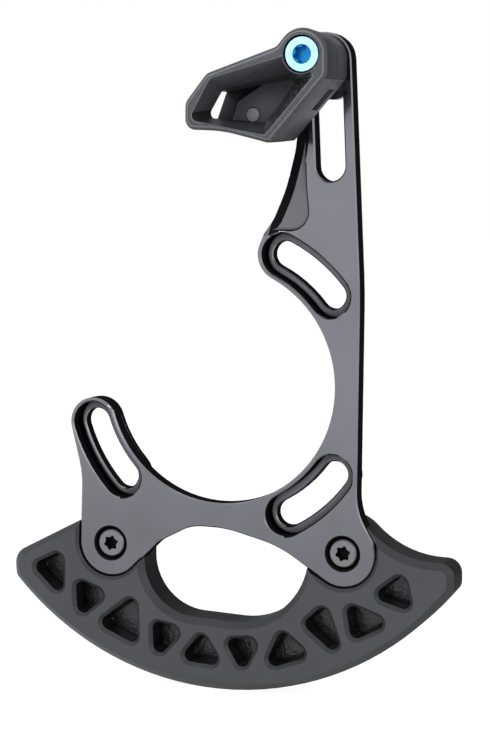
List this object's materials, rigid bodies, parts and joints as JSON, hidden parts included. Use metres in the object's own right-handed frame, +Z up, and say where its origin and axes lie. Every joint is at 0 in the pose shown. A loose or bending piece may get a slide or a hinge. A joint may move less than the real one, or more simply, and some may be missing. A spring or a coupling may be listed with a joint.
{
  "type": "chainring guard",
  "caption": "Bicycle chainring guard: slotted back plate on the crank shell, moulded lower bash guard with blind pockets and a two-part upper chain guide set in a long slot.",
  "frame": {"origin": "centre of the three mounting slots' circle, on the crank axis, in the plane of the rear mounting pads", "axes": "+Y along the crank axis towards the bicycle frame, +Z up along the arm, +X to the right seen from the outer side"},
  "size_m": [0.1178, 0.0289, 0.1648],
  "materials": {
    "plate": "satin graphite anodised",
    "guard": "satin black moulded",
    "insert": "plain",
    "screw": "black oxide",
    "guide": "fine grained black nylon",
    "pin": "satin",
    "nut": "satin",
    "bolt": "bright blue anodised"
  },
  "bodies": {
    "plate": {"backplate": "plate", "bash_guard": "guard", "guard_insert_left": "insert", "guard_insert_right": "insert", "guard_screw_left": "screw", "guard_screw_right": "screw"},
    "guide": {"guide_outer": "guide", "guide_inner": "guide", "guide_pin": "pin", "guide_nut": "nut", "guide_bolt": "bolt"}
  },
  "joints": [
    {"name": "guide_height", "type": "slide", "parent": "plate", "child": "guide", "axis": [0.0506, 0, -0.9987], "range_m": [0, 0.021]}
  ]
}
